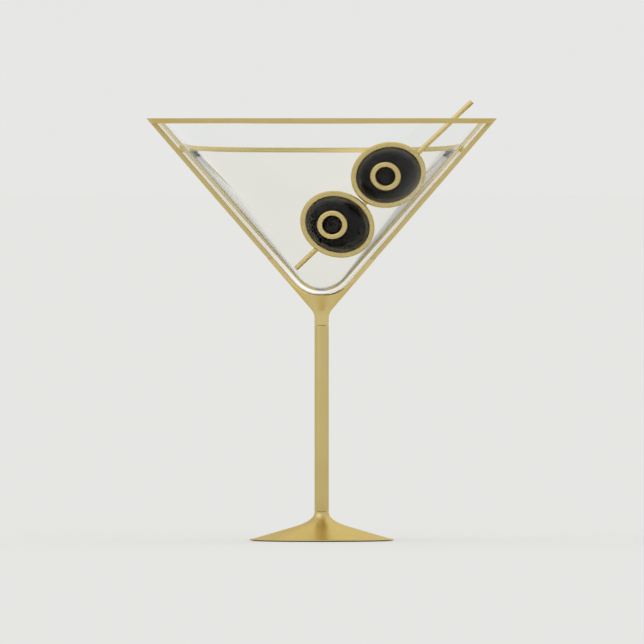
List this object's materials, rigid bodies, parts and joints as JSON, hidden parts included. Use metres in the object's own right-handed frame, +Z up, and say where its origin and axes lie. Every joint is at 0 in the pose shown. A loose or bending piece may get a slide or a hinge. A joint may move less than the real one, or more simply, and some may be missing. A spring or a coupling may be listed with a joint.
{
  "type": "martini glass",
  "caption": "Gilt-metal martini glass stand holding a lift-out conical glass liner with a drink and a leaning cocktail pick that carries bezelled olives.",
  "frame": {"origin": "centre of the foot pad's resting face", "axes": "+Z up along the stem; the pick and both straps lie in the XZ plane, and the pick leans towards +X; the glass is seen from the front along +Y"},
  "size_m": [0.1204, 0.1204, 0.1513],
  "materials": {
    "gilt_brass": "satin gilt over brass, fine brushing round the axis on turned pieces",
    "liner_glass": "clear, thin-walled, fire-polished lip",
    "drink": "clear, faintly straw-coloured liquid with a flat surface",
    "black_gloss": "polished black cast resin",
    "steel": "plain zinc-plated hardware",
    "silicone": "translucent silicone",
    "felt": "black pressed felt"
  },
  "bodies": {
    "stand": {"foot": "gilt_brass", "stem": "gilt_brass", "yoke": "gilt_brass", "strap_left": "gilt_brass", "strap_right": "gilt_brass", "level_hoop": "gilt_brass", "rim_hoop": "gilt_brass", "liner_cushion": "silicone", "washer": "steel", "nut": "steel", "foot_pad": "felt"},
    "liner": {"glass_liner": "liner_glass", "drink": "drink"},
    "pick": {"pick": "gilt_brass"},
    "olive_upper": {"olive_upper_body": "black_gloss", "olive_upper_bezel": "gilt_brass", "olive_upper_eyelet": "gilt_brass", "olive_upper_pimento": "black_gloss"},
    "olive_lower": {"olive_lower_body": "black_gloss", "olive_lower_bezel": "gilt_brass", "olive_lower_eyelet": "gilt_brass", "olive_lower_pimento": "black_gloss"}
  },
  "joints": [
    {"name": "liner_lift", "type": "slide", "parent": "stand", "child": "liner", "axis": [0, 0, 1], "range_m": [0, 0.07]},
    {"name": "pick_lift", "type": "slide", "parent": "liner", "child": "pick", "axis": [0, 0, 1], "range_m": [0, 0.06], "deforming": ["drink"]},
    {"name": "olive_upper_turn", "type": "hinge", "parent": "pick", "child": "olive_upper", "pos_m": [0.02397, 0, 0.12459], "axis": [0.7271, 0, 0.6866], "range_deg": [-45, 45], "deforming": ["drink"]},
    {"name": "olive_lower_turn", "type": "hinge", "parent": "pick", "child": "olive_lower", "pos_m": [0.00625, 0, 0.10785], "axis": [0.7271, 0, 0.6866], "range_deg": [-90, 90], "deforming": ["drink"]}
  ]
}
